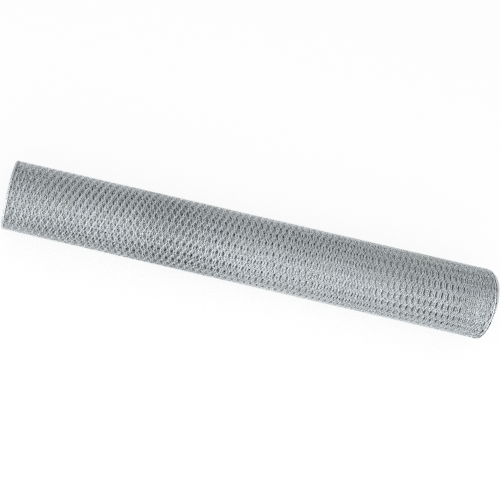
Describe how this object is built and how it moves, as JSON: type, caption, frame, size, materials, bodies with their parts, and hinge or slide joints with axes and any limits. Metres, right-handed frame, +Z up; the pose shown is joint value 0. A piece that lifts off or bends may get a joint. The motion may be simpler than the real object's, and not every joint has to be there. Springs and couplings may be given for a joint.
{
  "type": "wire netting roll",
  "caption": "Roll of galvanised hexagonal wire netting with a clear bore, lying on its side, to be unrolled and cut for runs, fences and guards.",
  "frame": {"origin": "on the floor under the middle of the roll", "axes": "+X along the roll towards its thick end, +Z up, +Y across it"},
  "size_m": [1.0004, 0.148, 0.148],
  "materials": {
    "galvanised_wire": "dull hot-dip galvanised"
  },
  "bodies": {
    "root": {"netting_roll": "galvanised_wire"}
  },
  "joints": []
}
